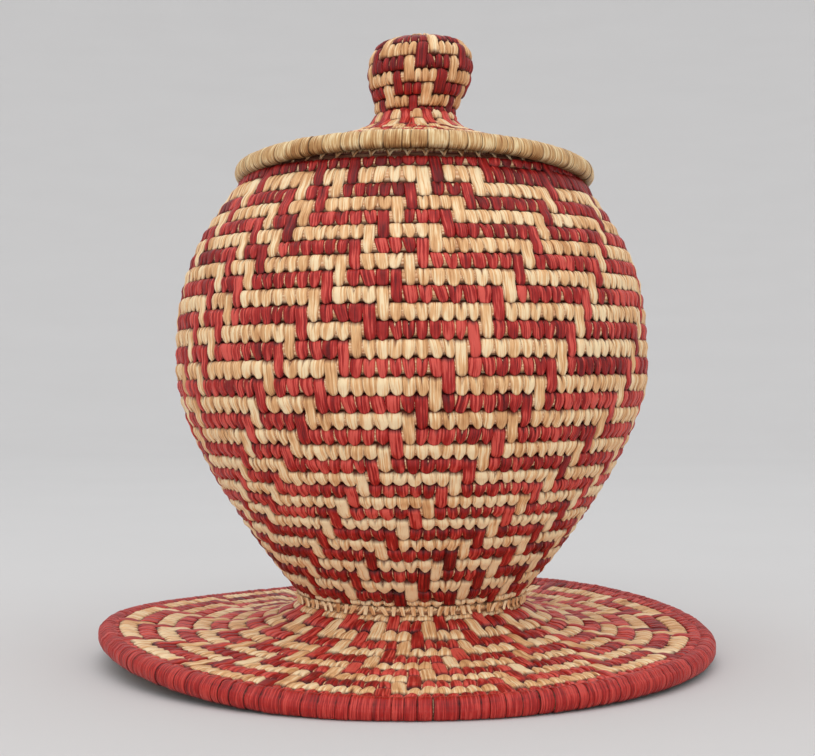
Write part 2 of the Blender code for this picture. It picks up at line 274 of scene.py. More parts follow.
def short_strips(coil, held, strip_width):
    """Places and widths of the short strips that fill the coil between the stretches that are held."""
    turns, widths, end = [], [], COIL_BEGINS
    for start, stop in sorted(held) + [(coil.turns - COIL_STOPS, coil.turns)]:
        parts = max(1, math.ceil((start - end) * PARTS_OF_TURN))
        share = (start - end) / parts
        for first in end + (start - end) * np.arange(parts) / parts:
            room = share * 2 * np.pi * coil.radius(first + share / 2)
            count = int(round(room / strip_width + ONE_MORE))
            if count > 0:
                turns += list(first + share * (np.arange(count) + 0.5) / count)
                widths += [room / count] * count
        end = max(end, stop)
    return np.array(turns), widths


def stitch_plan(
    coil,
    stairs,
    stair_turn,
    step,
    strip_width,
    red_at,
    seed,
    jog=1,
    last_change=99,
    leans=(0.35, 0.7),
    tongue=1.0,
    rim_red=None,
):
    """Every strip along a coil: the staircases of long stitches, and the short strips in the room between.
    Red and undyed change over at each turn where the jog staircase crosses it, so that the place red_at is
    red. Where rim_red is given, stitches of that colour also come out from under the rim on the last turn."""
    chance = np.random.default_rng(seed)
    crossings = stair_crossings(coil, stairs, stair_turn, step)
    jogs = crossings[jog]
    jogs = jogs[jogs < last_change]
    places = np.sort(crossings.ravel())
    has_room = coil.radius(places) > SMALLEST_STAIR_RADIUS
    longs = places[(places > LONGS_BEGIN) & (places < coil.turns - LONGS_STOP) & has_room]
    last = places - 1
    last = last[(last > coil.turns - 1) & (last < coil.turns - LONGS_STOP) & (rim_red is not None)]
    half = step / 2 / (2 * np.pi)
    held = [(w - half / coil.radius(w), w + half / coil.radius(w)) for w in (*longs, *(longs - 1), *last)]
    shorts, widths = short_strips(coil, held, strip_width)
    turn = np.r_[shorts, longs, last]
    n, later = len(turn), len(turn) - len(shorts)
    long = np.repeat((False, True, False), (len(shorts), len(longs), len(last)))
    is_red = (np.searchsorted(jogs, turn - 1e-6) - np.searchsorted(jogs, red_at)) % 2 == 0
    is_red[n - len(last) :] = bool(rim_red)
    same_leaf = np.repeat(chance.random(len(shorts) // STRIPS_PER_LEAF + 1), STRIPS_PER_LEAF)
    leaf = np.r_[same_leaf[: len(shorts)], chance.random(later)]
    leaf = np.where(leaf < BROWN_LEAVES, BROWN, leaf)

    # Every strip differs a little in its shade, splits and folds, in the shape of its lower end, its lean and
    # its size, because each is split and pulled tight by hand.
    return {
        "turn": turn,
        "width": np.r_[widths, np.full(later, step)],
        "low": np.where(long, -1.0, 0.0),
        "red": is_red,
        "tone": np.clip(0.5 + 0.32 * (leaf - 0.5) + chance.normal(0, 0.10, n), 0, 1),
        "cleft": np.where(chance.random(n) < SPLIT_STRIPS, chance.uniform(0.4, 1.0, n), 0.0)
        * np.where(long, 0.4, 1.0),
        "fold": chance.normal(0, 0.16, n),
        "tongue": chance.uniform(0.10, 0.20, n) * np.where(long, 0.7, 1.0) * tongue,
        "tip": chance.uniform(0.06, 0.26, n) * np.where(long, 0.6, 1.0) * tongue,
        "point": chance.uniform(1.5, 3.0, n),
        "taper": np.where(long, chance.uniform(-0.04, 0.22, n), chance.uniform(0.0, 0.22, n)),
        "skew": chance.normal(0, 0.04, n),
        "lean": np.where(long, chance.normal(leans[1], 0.4, n), chance.normal(leans[0], 0.5, n)) * MM,
        "lift": chance.normal(0, 0.11, n) * MM,
        "size": chance.normal(1.02, 0.055, n),
    }


SINK_AT_FOOT, SINK_AT_CROSSING, SINK_AT_TOP = 0.40, 0.16, 9.0  # how far a strip sinks in, in seam depths
ROLLED_FOOT, ROLLED_TOP = 0.10, 0.08  # shares of its length over which its ends roll down
EDGE_DROP = 0.3  # how far its edges lie under the turn's surface, in strip thicknesses
RAISED_FOOT = 0.55  # how far its foot stands up on the turn below, in strip thicknesses
SPLIT_FROM = 0.42  # share of its length at which a split starts to open
SHADE_FROM, SHADED_EDGE = 0.81, 0.78  # where painted shade starts, as shares of its length and its half width
LEAF_OVER_TURN = 6.4  # millimetres of leaf from one seam to the next
NEXT_STRIP = 7.31  # keeps the fibres of one strip from running on in the next


def strip_grid(coil, plan, chosen, across, steps, groove, thick, side, crest):
    """Corners of the chosen strips, each a grid that bows over its turn, bridges the seam and laps the turn
    below. Returns them with each corner's place on the leaf in millimetres, its painted shade and its tone."""
    pick = {name: values[chosen][:, None, None] for name, values in plan.items()}
    low, tongue = pick["low"], pick["tongue"]
    a = np.array(across)[None, None, :]
    t = np.linspace(0, 1, steps)[None, :, None]
    t = t - 0.11 * np.sin(2 * np.pi * t)  # more rows near the ends, where a strip curves the most

    # Where a corner lies: its foot ends in a tongue, its sides taper towards it, and it leans a little.
    bottom = low - tongue + (tongue + pick["tip"]) * np.abs(a) ** pick["point"] + pick["skew"] * a
    rise = bottom + (1.0 - bottom) * t
    half = pick["width"] * pick["size"] / 2 * (1 - pick["taper"] * (1 - t) ** 1.5)
    sideways = a * half + pick["lean"] * (0.5 - t)
    mid_turn = pick["turn"] + 0 * t
    turn = mid_turn + sideways / (2 * np.pi * coil.radius(mid_turn, low + (1 - low) * t))

    # How deep it lies: it is pulled straight over the seams that it crosses, and sinks in at its top.
    level = rise - np.floor(rise)
    arch = np.sqrt(np.clip(1 - (2 * level - 1) ** 2, 0, 1))
    above_foot = np.where(rise < 0.5, SINK_AT_CROSSING, SINK_AT_TOP)
    sink = np.where(rise < low + 0.5, SINK_AT_FOOT, above_foot) * groove
    depth = sink * (1 - np.exp(-groove * (1 - arch) / sink))

    # How it stands out: rolled down at its sides and ends, raised at its foot, and split from the top.
    ends = np.clip(np.minimum(t / ROLLED_FOOT, (1 - t) / ROLLED_TOP), 0, 1)
    body = (1 - np.abs(a) ** 6) * (0.1 + 0.9 * ends * (2 - ends))
    lift = thick * ((1 + EDGE_DROP) * body - EDGE_DROP) + pick["lift"] * body
    lift = lift + thick * RAISED_FOOT * np.clip((low + 0.16 - rise) / 0.25, 0, 1)
    opening = np.clip((t - SPLIT_FROM) / 0.5, 0, 1)
    split = pick["cleft"] * np.exp(-((a / (0.06 + 0.26 * opening)) ** 2)) * np.minimum(opening * 2.5, 1)
    lift = lift - thick * (1 + EDGE_DROP) * split
    lift = lift + pick["fold"] * a * thick * body
    points = coil.spot(turn, rise, side * (depth + thick - lift) + crest)

    # What its material reads: the place on the leaf, and painted shade where shade falls: under the next
    # turn, at its edges and in its splits.
    order = np.arange(len(pick["turn"]))[:, None, None]
    along = (low + (1 - low) * t) * LEAF_OVER_TURN
    grain = np.stack(np.broadcast_arrays(a * half / MM, along, order * NEXT_STRIP + 0 * t), -1)
    under = np.clip((t - SHADE_FROM) / 0.14, 0, 1) ** 1.5
    edge = 0.55 * np.clip((np.abs(a) - SHADED_EDGE) / 0.22, 0, 1)
    painted_shade = np.clip(np.maximum(0.5 * (1 - ends), under) + edge + 0.9 * split, 0, 1)
    return points, grain, painted_shade, np.broadcast_to(pick["tone"], painted_shade.shape)


def strips_piece(name, material, grids):
    """One object from grids of strips, with each corner's grain, painted shade and tone kept as attributes.
    """
    corners, faces, first = [], [], 0
    for points, grain, painted_shade, tone in grids:
        count, rows, columns = painted_shade.shape
        starts = first + (np.arange(count) * rows * columns)[:, None, None]
        faces.append((grid_faces(rows, columns)[None] + starts).reshape(-1, 4))
        first += count * rows * columns
        corners.append([points.reshape(-1, 3), grain.reshape(-1, 3), painted_shade.ravel(), tone.ravel()])
    points, grain, painted_shade, tone = (np.concatenate(values) for values in zip(*corners))
    piece = new_piece(name, points, np.concatenate(faces), material)
    for attribute, kind, field, values in (
        ("grain", "FLOAT_VECTOR", "vector", grain),
        ("painted_shade", "FLOAT", "value", painted_shade),
        ("tone", "FLOAT", "value", tone),
    ):
        data = piece.data.attributes.new(attribute, kind, "POINT").data
        data.foreach_set(field, values.astype(np.float32).ravel())
    return piece


FIBRE_STREAKS = 0.07  # changes of shade to a millimetre along the fibres
STAIN_PATCHES = (0.4, 0.16, 1.0)  # patches to a millimetre across and along the leaf
RIDGE_HEIGHT = 0.5 * MM
LEAF_IOR = 1.45


def leaf_material(name, dark, middle, light, shade_colour, roughness, ridges=1.5, variety=0.6):
    """A dried leaf strip: straight fibres along it, each strip in its own tone, and painted shade where it
    tucks in.
    The fibres of a real leaf are 0.2 to 0.3 mm wide. They are drawn coarser, at the given number of ridges
    to a millimetre, so that they show in the picture."""
    made = new_material(name)
    grain = add(made, "ShaderNodeAttribute", attribute_name="grain")
    tone = add(made, "ShaderNodeAttribute", attribute_name="tone")
    painted_shade = add(made, "ShaderNodeAttribute", attribute_name="painted_shade")
    place = grain.outputs["Vector"]
    along_fibres = {0: place, 1: (ridges, FIBRE_STREAKS, 1.0)}
    fine = add(made, "ShaderNodeVectorMath", along_fibres, operation="MULTIPLY")
    fibre_noise = {"Vector": fine.outputs[0], "Scale": 1.0, "Detail": 2.5, "Roughness": 0.6}
    fibres = add(made, "ShaderNodeTexNoise", fibre_noise)
    broad = add(made, "ShaderNodeVectorMath", {0: place, 1: STAIN_PATCHES}, operation="MULTIPLY")
    stains = add(made, "ShaderNodeTexNoise", {"Vector": broad.outputs[0], "Scale": 1.0, "Detail": 2.0})
    own_shade = {0: tone.outputs["Fac"], 1: variety, 2: -0.5 * variety}
    shade = add(made, "ShaderNodeMath", own_shade, operation="MULTIPLY_ADD")
    with_fibres = {0: fibres.outputs["Fac"], 1: 1.35, 2: shade.outputs[0]}
    shade = add(made, "ShaderNodeMath", with_fibres, operation="MULTIPLY_ADD")
    with_stains = {0: stains.outputs["Fac"], 1: 0.40, 2: shade.outputs[0]}
    shade = add(made, "ShaderNodeMath", with_stains, operation="MULTIPLY_ADD")
    ramp = add(made, "ShaderNodeValToRGB", {"Fac": shade.outputs[0]})
    ramp.color_ramp.elements[0].position, ramp.color_ramp.elements[0].color = 0.52, linear(dark)
    ramp.color_ramp.elements[1].position, ramp.color_ramp.elements[1].color = 1.18, linear(light)
    ramp.color_ramp.elements.new(0.86).color = linear(middle)
    between_fibres = {0: fibres.outputs["Fac"], 1: -0.7, 2: 0.10}
    frayed = add(made, "ShaderNodeMath", between_fibres, operation="MULTIPLY_ADD")
    # Painted shade: the leaf is mixed towards the shade colour by the painted shade attribute, and a little
    # between its fibres as grain.
    where_shaded = {0: painted_shade.outputs["Fac"], 1: 1.45, 2: frayed.outputs[0]}
    shade_level = add(made, "ShaderNodeMath", where_shaded, operation="MULTIPLY_ADD", use_clamp=True)
    shade_level = add(made, "ShaderNodeMath", {0: shade_level.outputs[0], 1: 0.95}, operation="MULTIPLY")
    mixed = {"Fac": shade_level.outputs[0], "Color1": ramp.outputs["Color"], "Color2": linear(shade_colour)}
    colour = add(made, "ShaderNodeMixRGB", mixed)
    ridge = {"Height": fibres.outputs["Fac"], "Strength": 1.0, "Distance": RIDGE_HEIGHT}
    bump = add(made, "ShaderNodeBump", ridge)
    surface = {
        "Base Color": colour.outputs[0],
        "Roughness": roughness,
        "IOR": LEAF_IOR,
        "Specular IOR Level": 0.35,
        "Normal": bump.outputs["Normal"],
    }
    return finish_material(made, add(made, "ShaderNodeBsdfPrincipled", surface))


# Undyed palm leaf, dried and split into strips. To the eye it is straw-coloured with a cast of pink, streaked
# along its fibres, and has the dull shine of a dry leaf. Its shade colour is painted shade, reddened as a
# painted reflection of the red turns beside it.
undyed_leaf = leaf_material(
    "undyed_palm_leaf", "#BE8350", "#EEBC86", "#FAE0B4", "#5C1D11", roughness=0.5, variety=0.45
)
# The same leaf boiled in red dye. To the eye it is brick red, lighter where the dye took less, and a little
# glossier.
red_leaf = leaf_material("red_dyed_palm_leaf", "#66090B", "#AC211C", "#D9564A", "#330406", roughness=0.44)
# Bare grass stalks, as they lie in the bundle. To the eye they are dull and tan. They are painted dark
# beside the seams, as shade.
bare_grass = leaf_material("bare_grass_stalks", "#AD7548", "#E2AC7E", "#F2CFA6", "#4E1A0F", roughness=0.6)


BUNDLE_ROWS = 7
SEAM_SHADE = 0.22  # share of a turn's height over which the bundle is painted dark beside each seam, as shade


def grass_core(name, coil, skins, columns):
    """The bundle itself, a ribbed spiral that shows in the gaps between strips, for each skin of the coil."""
    grids = []
    for groove, sunk, side, crest in skins:
        columns_turned = np.arange(coil.turns * columns + 1) / columns
        turn, lane = np.meshgrid(columns_turned, np.linspace(0, 1, BUNDLE_ROWS), indexing="ij")
        lane = 0.5 - 0.5 * np.cos(np.pi * lane)
        depth = groove * (1 - np.sqrt(np.clip(1 - (2 * lane - 1) ** 2, 0, 1))) + sunk
        points = coil.spot(turn, lane, side * depth + crest)
        length = turn * 2 * np.pi * coil.radius(coil.turns / 2) / MM
        grain = np.stack([lane * LEAF_OVER_TURN, length, 0 * turn], -1)
        painted_shade = np.clip(1 - np.minimum(lane, 1 - lane) / SEAM_SHADE, 0, 1)
        grids.append((points[None], grain[None], painted_shade[None], 0 * painted_shade[None] + 0.5))
    return strips_piece(name, bare_grass, grids)


def keep(piece, body, node):
    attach(piece, body)
    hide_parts(node)


FINE_ACROSS, FINE_STEPS = (-1, -0.9, -0.58, -0.25, 0, 0.25, 0.58, 0.9, 1), (9, 11)
COARSE_ACROSS, COARSE_STEPS = (-1, -0.75, 0, 0.75, 1), (6, 9)
UNDER_STRIPS = 0.05 * MM  # room between the bundle and the strips on it


def bind(body, node, coil, plan, thickness, groove, thick, columns, colours=("undyed", "red")):
    """Makes one coiled piece: fine strips on its outer face, coarser ones with shallower seams on its inner
    face, which is hardly seen, and the grass bundle between them."""
    inner_groove = 0.6 * groove
    for where, side, crest, across, steps, deep in (
        ("outer", 1, 0.0, FINE_ACROSS, FINE_STEPS, groove),
        ("inner", -1, thickness, COARSE_ACROSS, COARSE_STEPS, inner_groove),
    ):
        for colour in colours:
            is_red = colour == "red"
            held = plan["red"] == is_red if len(colours) > 1 else np.full(len(plan["turn"]), True)
            grids = []
            for low, count in zip((0, -1), steps):
                chosen = held & (plan["low"] == low)
                grids.append(strip_grid(coil, plan, chosen, across, count, deep, thick, side, crest))
            leaf = red_leaf if is_red else undyed_leaf
            piece = strips_piece(f"{node}_{where}_{colour}_strips", leaf, grids)
            keep(piece, body, node)
    sunk = thick + UNDER_STRIPS
    skins = ((groove, sunk, 1, 0.0), (inner_groove, sunk, -1, thickness))
    keep(grass_core(f"{node}_grass_bundle", coil, skins, columns), body, node)


waist = np.array([WAIST_RADIUS, WAIST_HEIGHT])
belly = np.array([BELLY_RADIUS, WAIST_HEIGHT + BELLY_ABOVE_WAIST])
mouth = np.array([MOUTH_RADIUS, WAIST_HEIGHT + MOUTH_ABOVE_WAIST])
upward = np.array([0, 1])
above_waist = waist + WAIST_HANDLE * heading(WAIST_SLOPE)
below_mouth = mouth - MOUTH_HANDLE * heading(MOUTH_SLOPE)
lower_wall = curve(waist, above_waist, belly - LOWER_BELLY_HANDLE * upward, belly)
upper_wall = curve(belly, belly + UPPER_BELLY_HANDLE * upward, below_mouth, mouth)
wall_outline = Outline(np.concatenate([lower_wall, upper_wall]), out=1)
wall_growth = (WALL_PITCHES[1] - WALL_PITCHES[0]) / (WALL_PITCHES[1] + WALL_PITCHES[0])
wall_coil = Coil(wall_outline, WALL_TURNS, wall_growth, turning=1, unevenness=WALL_UNEVENNESS)

# Degrees to the right of the front at which the staircases start from the last turn: first those that can be
# seen from the front, then an even row of them round the back.
FRONT_STAIRS = (-17.5, 22.5, 7.0, 47.7, 71.8, 100.0)
BACK_STAIRS = np.linspace(100.0, 331.5, 11)[1:]
wall_plan = stitch_plan(
    wall_coil,
    [*FRONT_STAIRS, *BACK_STAIRS],
    WALL_TURNS - 1,
    step=4.45 * MM,
    strip_width=4.75 * MM,
    red_at=31.67,
    seed=11,
    last_change=WALL_TURNS - 1,
)

# Painted light and shade: near the waist the undyed leaf is painted light, as if lit from below, and the red
# is painted dark, as in shade. The red under the lid is painted dark too, as in the lid's shadow.
wall_turn = wall_plan["turn"]
painted_light_low = 0.42 * np.clip((16 - wall_turn) / 8, 0, 1)
painted_shade_red = 0.26 * np.clip((10 - wall_turn) / 5, 0, 1) + 0.3 * np.clip((wall_turn - 25) / 6, 0, 1)
wall_plan["tone"] = wall_plan["tone"] + np.where(wall_plan["red"], -painted_shade_red, painted_light_low)
bind("vessel", "vessel_wall", wall_coil, wall_plan, WALL_THICKNESS, WALL_SEAM, WALL_STRIP, columns=150)


# The foot rim. A thick grass bundle closes the edge of the foot, bound round and round with wide red leaf
# strips laid side by side. The basket stands on its lower side, and part of it has warped a little off the
# ground.
FOOT_RIM_RADIUS = 114.5 * MM
FOOT_RIM_HALF = 4.2 * MM
FOOT_SHIFT = -1.6 * MM
FOOT_LIFT = 3.8  # how far the warped edge lies off the ground on average, in millimetres
FOOT_WAVES = ((1, -2.7, -0.6), (2, -0.6, -1.5), (3, -0.4, 1.2))  # times round, cosine and sine in millimetres
FRONT_SAG, FRONT_BULGE = 1.3, 0.02  # millimetres that the front hangs lower, and its share of extra reach
PRESSED = 0.7 * MM  # below this height what would reach the ground is pressed flat on it
WRAP_ACROSS = (-1, -0.96, -0.8, -0.4, 0, 0.4, 0.8, 0.96, 1)
FRONT_OF_RING = 0.75  # share of the way round at which a ring that starts at the right faces the viewer
FRONT_WIDTH = 0.07  # share of the way round over which it does so
OVERLAP = 1.04  # how much of its own place a strip fills where it laps its neighbours
CREASE_AT, CREASE_WIDTH = 0.75, 0.22  # radians up from the outer side, about halfway to the top
CREASE_WAVE = 19 * MM  # the crease gets deeper and shallower over about six times this length


def foot_bend(points):
    """The foot sits a little to the left of the waist, and its edge has warped up at its sides and back."""
    radius = np.hypot(points[..., 0], points[..., 1])
    reach = np.clip((radius - WAIST_RADIUS) / (FOOT_RIM_RADIUS - WAIST_RADIUS), 0, 1.1)
    angle = np.arctan2(points[..., 0], -points[..., 1])
    front = np.clip(np.cos(angle), 0, 1)
    warp = FOOT_LIFT + sum(c * np.cos(k * angle) + s * np.sin(k * angle) for k, c, s in FOOT_WAVES)
    height = points[..., 2] + (warp - FRONT_SAG * front**4) * MM * reach**2
    pressed = PRESSED * np.exp(np.minimum(height / PRESSED - 1, 0))
    height = np.where(height > PRESSED, height, pressed)
    forward = points[..., 1] * (1 + FRONT_BULGE * front * reach**2)
    return np.stack([points[..., 0] + FOOT_SHIFT * reach, forward, height], -1)


def wraps(
    radius,
    height,
    half_width,
    half_height,
    strip_width,
    slant,
    thick,
    seed,
    spread,
    underside_shade,
    bend=None,
    crease=0.0,
    front=1.0,
    stains=(),
    snug=(0.22, 0.965),
):
    """Strips wound round a ring-shaped bundle one beside the next. Each is a grid that bows across its width.
    Their widths differ by the share spread, and are greater by the factor front where the basket faces the
    viewer. Underside_shade is how dark their lower side is painted as shade and how high up that starts, and
    stains are the angles at which they are brown. Snug is the share of them that leave a gap, and how much of
    their place those fill."""
    chance = np.random.default_rng(seed)
    around = 2 * np.pi * radius
    sizes = np.clip(chance.normal(1.0, spread, int(around / strip_width)), 0.5, 1.7)
    n = len(sizes)
    facing = np.exp(-(((np.arange(n) / n - FRONT_OF_RING) / FRONT_WIDTH) ** 2))
    sizes *= 1 + (front - 1) * facing
    sizes *= around / sizes.sum()
    half = sizes[:, None, None] / 2
    a = np.array(WRAP_ACROSS)[None, None, :]
    theta = np.linspace(-np.pi, np.pi, 29)[None, :, None]

    # Where a corner lies: each strip winds once round the bundle and ends a little further along.
    fill = np.where(chance.random(n) < snug[0], snug[1], OVERLAP)[:, None, None]
    middle = (np.cumsum(sizes) - sizes / 2)[:, None, None]
    own_slant = slant + chance.normal(0, 0.35, n)[:, None, None] * MM
    along = middle + a * half * fill + own_slant * theta / (2 * np.pi)

    # How it stands out: flat with rolled edges, tilted, rippled, and dented along a crease on its outer side.
    lift = thick * (1.25 * (1 - np.abs(a) ** 10) - 0.25) + chance.normal(0, 0.07, n)[:, None, None] * MM
    lift = lift + chance.normal(0, 0.2, n)[:, None, None] * thick * a
    lift = lift + 0.22 * thick * np.sin(4.5 * a + chance.uniform(0, 6.3, n)[:, None, None])
    dent = crease * np.exp(-(((theta - CREASE_AT) / CREASE_WIDTH) ** 2))
    dent = dent * (0.6 + 0.4 * np.sin(middle / CREASE_WAVE))
    out = lift - thick - dent
    ring_radius = radius + (half_width + out) * np.cos(theta)
    ring_height = height + (half_height + out) * np.sin(theta)
    angle = along / radius
    points = np.stack([ring_radius * np.cos(angle), ring_radius * np.sin(angle), ring_height], -1)
    if bend:
        points = bend(points)

    # What its material reads: the place on the leaf, painted shade at the edges, below and in the crease,
    # and stains.
    order = np.arange(n)[:, None, None] * 5.13
    grain = np.stack(np.broadcast_arrays(a * half / MM, theta * half_height / MM, order), -1)
    crease_shade = 0.30 * (crease > 0) * np.exp(-(((theta - 0.72) / 0.2) ** 2))
    below = underside_shade[0] * np.clip(underside_shade[1] - np.sin(theta), 0, 1) + crease_shade
    edge = np.clip((np.abs(a) - 0.88) / 0.12, 0, 1)
    painted_shade = np.broadcast_to(np.clip(edge + below, 0, 1) * 0.9, grain.shape[:-1])
    to_the_right = np.degrees(middle / radius) - 270
    brown = sum(np.exp(-(((to_the_right - place) / width) ** 2)) for place, width in stains)
    brown = brown * np.clip(0.9 - np.sin(theta), 0, 1)
    tone = np.clip(0.5 + chance.normal(0, 0.08, n)[:, None, None] - 0.7 * brown, 0, 1)
    return points, grain, painted_shade, np.broadcast_to(tone, painted_shade.shape)


def ring_core(name, radius, height, half_width, half_height, bend=None, shade_level=0.3):
    """The grass bundle under the wraps of a rim, painted evenly dark by the given shade level, as shade."""
    rounds, sides = np.linspace(0, 2 * np.pi, 241), np.linspace(0, 2 * np.pi, 13)
    turn, theta = np.meshgrid(rounds, sides, indexing="ij")
    ring_radius = radius + half_width * np.cos(theta)
    ring_height = height + half_height * np.sin(theta)
    points = np.stack([ring_radius * np.cos(turn), ring_radius * np.sin(turn), ring_height], -1)
    if bend:
        points = bend(points)
    grain = np.stack([theta * half_height / MM, turn * radius / MM, 0 * turn], -1)
    even = 0 * turn[None]
    return strips_piece(name, bare_grass, [(points[None], grain[None], shade_level + even, 0.5 + even)])


# Wide red-dyed leaf, pulled tight over the thick bundle. To the eye it is smooth, with fine fibres, the
# glossiest part of the basket, and its underside is painted black as the shadow where it meets the ground.
red_rim_leaf = leaf_material(
    "red_dyed_rim_leaf", "#74090A", "#A91C17", "#C94238", "#1C0202", roughness=0.36, ridges=2.2, variety=0.4
)
foot_wraps = wraps(
    FOOT_RIM_RADIUS,
    FOOT_RIM_HALF,
    FOOT_RIM_HALF,
    FOOT_RIM_HALF,
    strip_width=2.9 * MM,
    slant=0.8 * MM,
    thick=0.34 * MM,
    seed=21,
    spread=0.3,
    bend=foot_bend,
    crease=0.5 * MM,
    front=2.3,
    # Painted shadow: the lower side of the wraps is painted almost black, as where the rim meets the ground.
    underside_shade=(3.0, -0.64),
    snug=(0.12, 0.97),
)
keep(strips_piece("foot_rim_red_wraps", red_rim_leaf, [foot_wraps]), "vessel", "foot_rim")
foot_core_half = FOOT_RIM_HALF - 0.75 * MM
foot_rim_bundle = ring_core(
    "foot_rim_grass_bundle", FOOT_RIM_RADIUS, FOOT_RIM_HALF, foot_core_half, foot_core_half, foot_bend
)
keep(foot_rim_bundle, "vessel", "foot_rim")


# The foot brim. A second coil spreads from the waist down to the rim in undyed and red turns, with its own
# staircases of long stitches, and stays open underneath. Its last turn dives into the rim.
FOOT_START = np.array([42.2, 22.4]) * MM
FOOT_END = np.array([110.1, 8.7]) * MM
FOOT_TUCKED = np.array([114.8, 7.6]) * MM
FOOT_SLOPES = [math.radians(slope) for slope in (-35, -3, -20)]  # at the waist, at the end and in the rim
FOOT_HANDLES = (18 * MM, 34 * MM, 1.5 * MM)
FOOT_THICKNESS, FOOT_SEAM, FOOT_STRIP = 5.6 * MM, 1.8 * MM, 0.6 * MM
FOOT_TURNS, FOOT_GROWTH = 12, 0.05
brim = curve(
    FOOT_START,
    FOOT_START + FOOT_HANDLES[0] * heading(FOOT_SLOPES[0]),
    FOOT_END - FOOT_HANDLES[1] * heading(FOOT_SLOPES[1]),
    FOOT_END,
)
dive = curve(
    FOOT_END,
    FOOT_END + FOOT_HANDLES[2] * heading(FOOT_SLOPES[1]),
    FOOT_TUCKED - FOOT_HANDLES[2] * heading(FOOT_SLOPES[2]),
    FOOT_TUCKED,
    steps=12,
)
foot_outline = Outline(np.concatenate([brim, dive]), out=-1)
foot_coil = Coil(foot_outline, FOOT_TURNS, FOOT_GROWTH, turning=-1, bend=foot_bend)
FOOT_STAIRS = (-2.2, 18.5, *np.linspace(18.5, 357.8, 17)[1:-1])
foot_plan = stitch_plan(
    foot_coil,
    FOOT_STAIRS,
    4,
    step=5.0 * MM,
    strip_width=4.7 * MM,
    red_at=1.5,
    seed=31,
    jog=9,
    leans=(-0.3, 0.2),
    tongue=0.8,
    rim_red=True,
)
bind("vessel", "foot_brim", foot_coil, foot_plan, FOOT_THICKNESS, FOOT_SEAM, FOOT_STRIP, columns=140)


# The waist lashing. Undyed strips twisted round a thin bundle tie the vessel to the foot, and short strips
# run straight across it from the first turn of the wall to the first turn of the foot.
lashing_low, lashing_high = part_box("waist_lashing")
LASHING_RADIUS = lashing_high.x - 2.5 * MM
LASHING_HEIGHT = (lashing_low.z + lashing_high.z) / 2
BRIDGES = 84
twist = wraps(
    LASHING_RADIUS + 0.2 * MM,
    LASHING_HEIGHT + 0.5 * MM,
    2.5 * MM,
    1.1 * MM,
    strip_width=2.3 * MM,
    slant=4.2 * MM,
    thick=0.6 * MM,
    seed=41,
    spread=0.35,
    # Painted shade on the lower side of the twist.
    underside_shade=(0.4, 0.4),
)
keep(strips_piece("waist_lashing_twist", undyed_leaf, [twist]), "vessel", "waist_lashing")
# Painted shade: the bundle is painted dark, as in the shade between the twisted strips.
lashing_bundle = ring_core(
    "waist_lashing_grass_bundle",
    LASHING_RADIUS - 0.2 * MM,
    LASHING_HEIGHT + 0.1 * MM,
    2.6 * MM,
    2.2 * MM,
    shade_level=0.55,
)
keep(lashing_bundle, "vessel", "waist_lashing")


def straps(outline, angles, width, leans, thick, seed, steps=9, extra_shade=0.0):
    """Single strips laid along an outline at the given angles, each leaning sideways by its own amount."""
    chance = np.random.default_rng(seed)
    n = len(angles)
    a = np.array((-1, -0.8, -0.3, 0.3, 0.8, 1))[None, None, :]
    t = np.linspace(0, 1, steps)[None, :, None]
    half = (width * chance.normal(1, 0.12, n) / 2)[:, None, None] * (1 - 0.35 * (1 - t) ** 2)
    ends = np.clip(np.minimum(t, 1 - t) / 0.14, 0, 1)
    lift = thick * (1.3 * (1 - np.abs(a) ** 4) * (0.2 + 0.8 * ends) - 0.3)
    lift = lift + chance.normal(0, 0.08, n)[:, None, None] * MM
    radius, height = outline.place(outline.length * t, -lift)
    sideways = a * half + np.array(leans)[:, None, None] * (t - 0.2)
    angle = np.array(angles)[:, None, None] + sideways / radius
    points = np.stack([radius * np.cos(angle), radius * np.sin(angle), height + 0 * angle], -1)
    order = np.arange(n)[:, None, None] * 3.7
    grain = np.stack(np.broadcast_arrays(a * half / MM, t * outline.length / MM, order), -1)
    # Painted shade: each strip is dark at its ends, where it tucks in, plus the extra shade given.
    painted_shade = np.broadcast_to(np.clip(0.8 * (1 - ends) + extra_shade, 0, 1), grain.shape[:-1])
    tone = np.clip(0.5 + chance.normal(0, 0.2, n), 0, 1)[:, None, None]
    return points, grain, painted_shade, np.broadcast_to(tone, painted_shade.shape)


bridge_points = [np.array(point) * MM for point in ((44.7, 21.2), (44.1, 22.0), (44.2, 23.2), (45.0, 24.9))]
chance = np.random.default_rng(42)
bridge_angles = 2 * np.pi * (np.arange(BRIDGES) + chance.uniform(-0.4, 0.4, BRIDGES)) / BRIDGES
bridge_leans = chance.normal(0, 1.2, BRIDGES) * MM
bridge_outline = Outline(curve(*bridge_points, steps=12), out=1)
bridges = straps(bridge_outline, bridge_angles, 1.9 * MM, bridge_leans, 0.35 * MM, seed=43)
bridges_piece = strips_piece("waist_lashing_bridges", undyed_leaf, [bridges])
keep(bridges_piece, "vessel", "waist_lashing")


# The vessel floor. A flat coil starts at the centre and is worked outward in undyed strips until it fills the
# bottom of the vessel, so it shows inside, and from below through the open foot.
FLOOR_CENTRE, FLOOR_TURNS = 1.4 * MM, 8
FLOOR_SEAM, FLOOR_STRIP = 1.5 * MM, 0.7 * MM
floor_low, floor_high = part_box("vessel_floor")
floor_thickness = floor_high.z - floor_low.z
floor_outline = Outline(np.array([[FLOOR_CENTRE, floor_high.z], [floor_high.x, floor_high.z]]), out=-1)
floor_coil = Coil(floor_outline, FLOOR_TURNS, 0.0, turning=1)
floor_plan = stitch_plan(
    floor_coil, (10, 130, 250), 4, step=4.6 * MM, strip_width=4.6 * MM, red_at=0, seed=51
)
bind(
    "vessel",
    "vessel_floor",
    floor_coil,
    floor_plan,
    floor_thickness,
    FLOOR_SEAM,
    FLOOR_STRIP,
    columns=60,
    colours=("undyed",),
)


